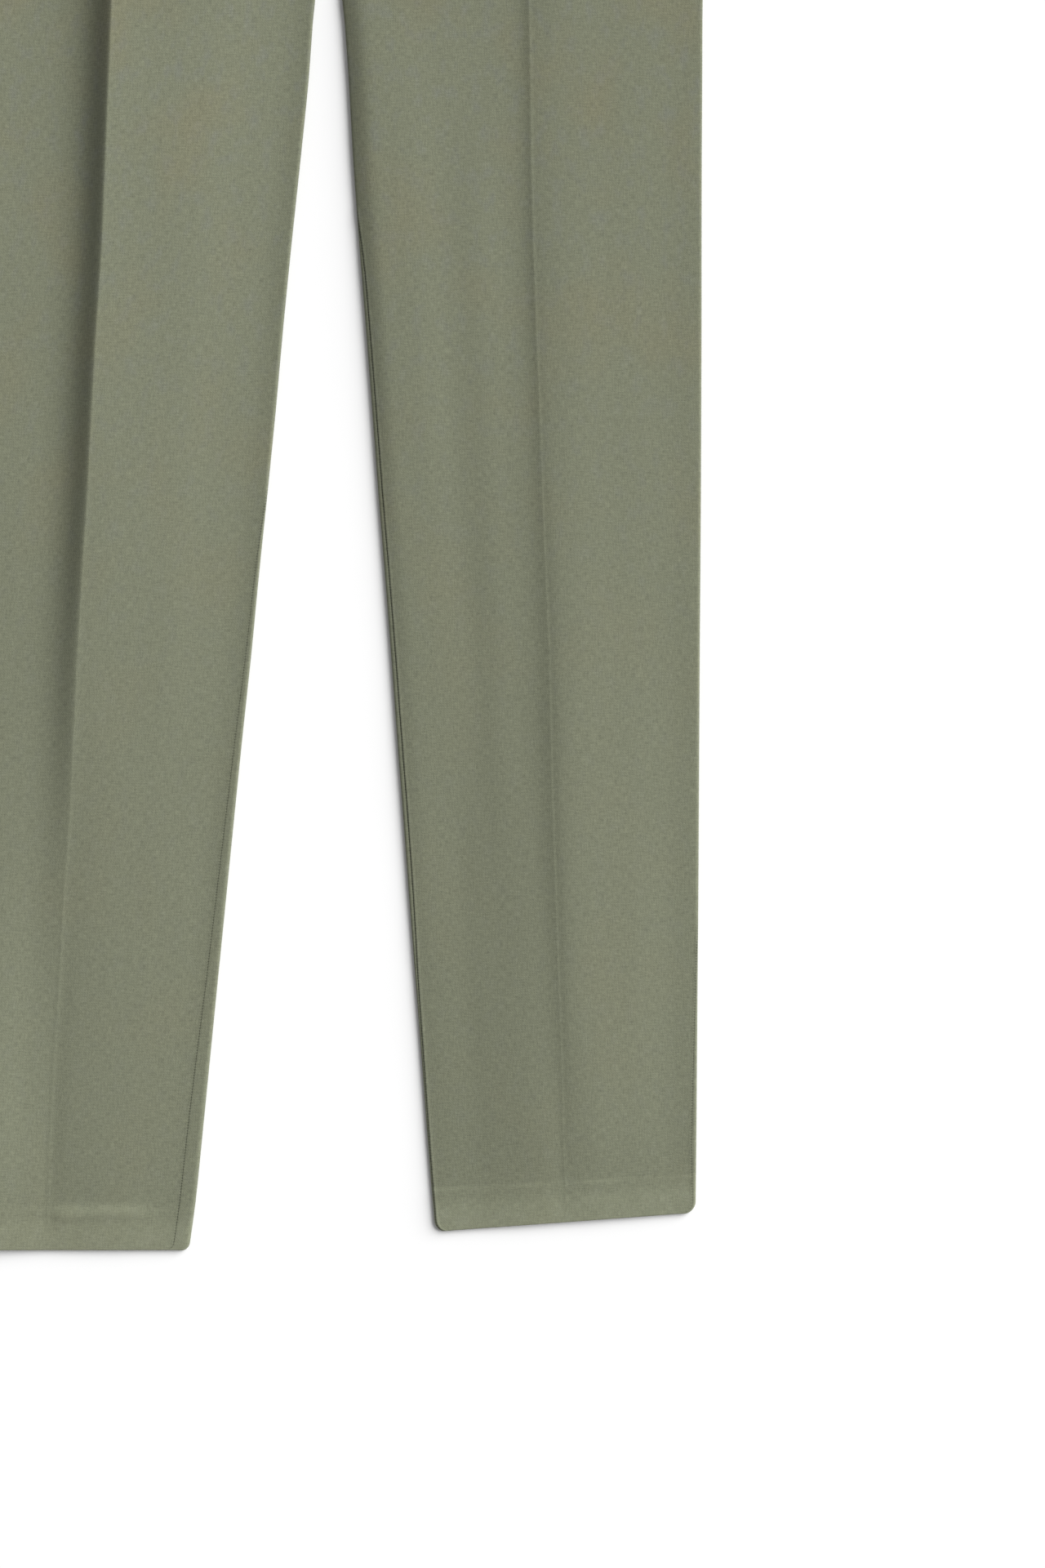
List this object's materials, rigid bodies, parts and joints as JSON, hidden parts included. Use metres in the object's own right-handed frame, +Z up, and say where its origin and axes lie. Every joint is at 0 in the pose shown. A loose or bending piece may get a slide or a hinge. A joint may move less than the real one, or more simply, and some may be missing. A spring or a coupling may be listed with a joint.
{
  "type": "suit trousers, laid flat",
  "caption": "Flat-front suit trousers with pressed creases, laid out flat with the front up and the legs slightly apart.",
  "frame": {"origin": "middle of the laid garment in plan, on the surface that it lies on", "axes": "+X towards the wearer's left leg, the picture's right; +Y from the hems to the waist, the picture's top; +Z up out of the surface, towards the camera"},
  "size_m": [0.5181, 1.1194, 0.0182],
  "materials": {
    "cloth": "fine matt plain weave of wool blend, khaki green",
    "waistband_cloth": "the same plain weave, doubled and pressed",
    "shield_cloth": "plain weave",
    "tape_weave": "tightly woven zip tape",
    "slider_metal": "dull plated metal",
    "button_plastic": "polished, faintly marbled"
  },
  "bodies": {
    "root": {"front_left": "cloth", "front_right": "cloth", "back_left": "cloth", "back_right": "cloth", "waistband_front_left": "waistband_cloth", "waistband_front_right": "waistband_cloth", "waistband_back": "waistband_cloth", "fly_shield": "shield_cloth", "zip_tape": "tape_weave", "zip_slider": "slider_metal", "waist_button": "button_plastic"}
  },
  "joints": []
}
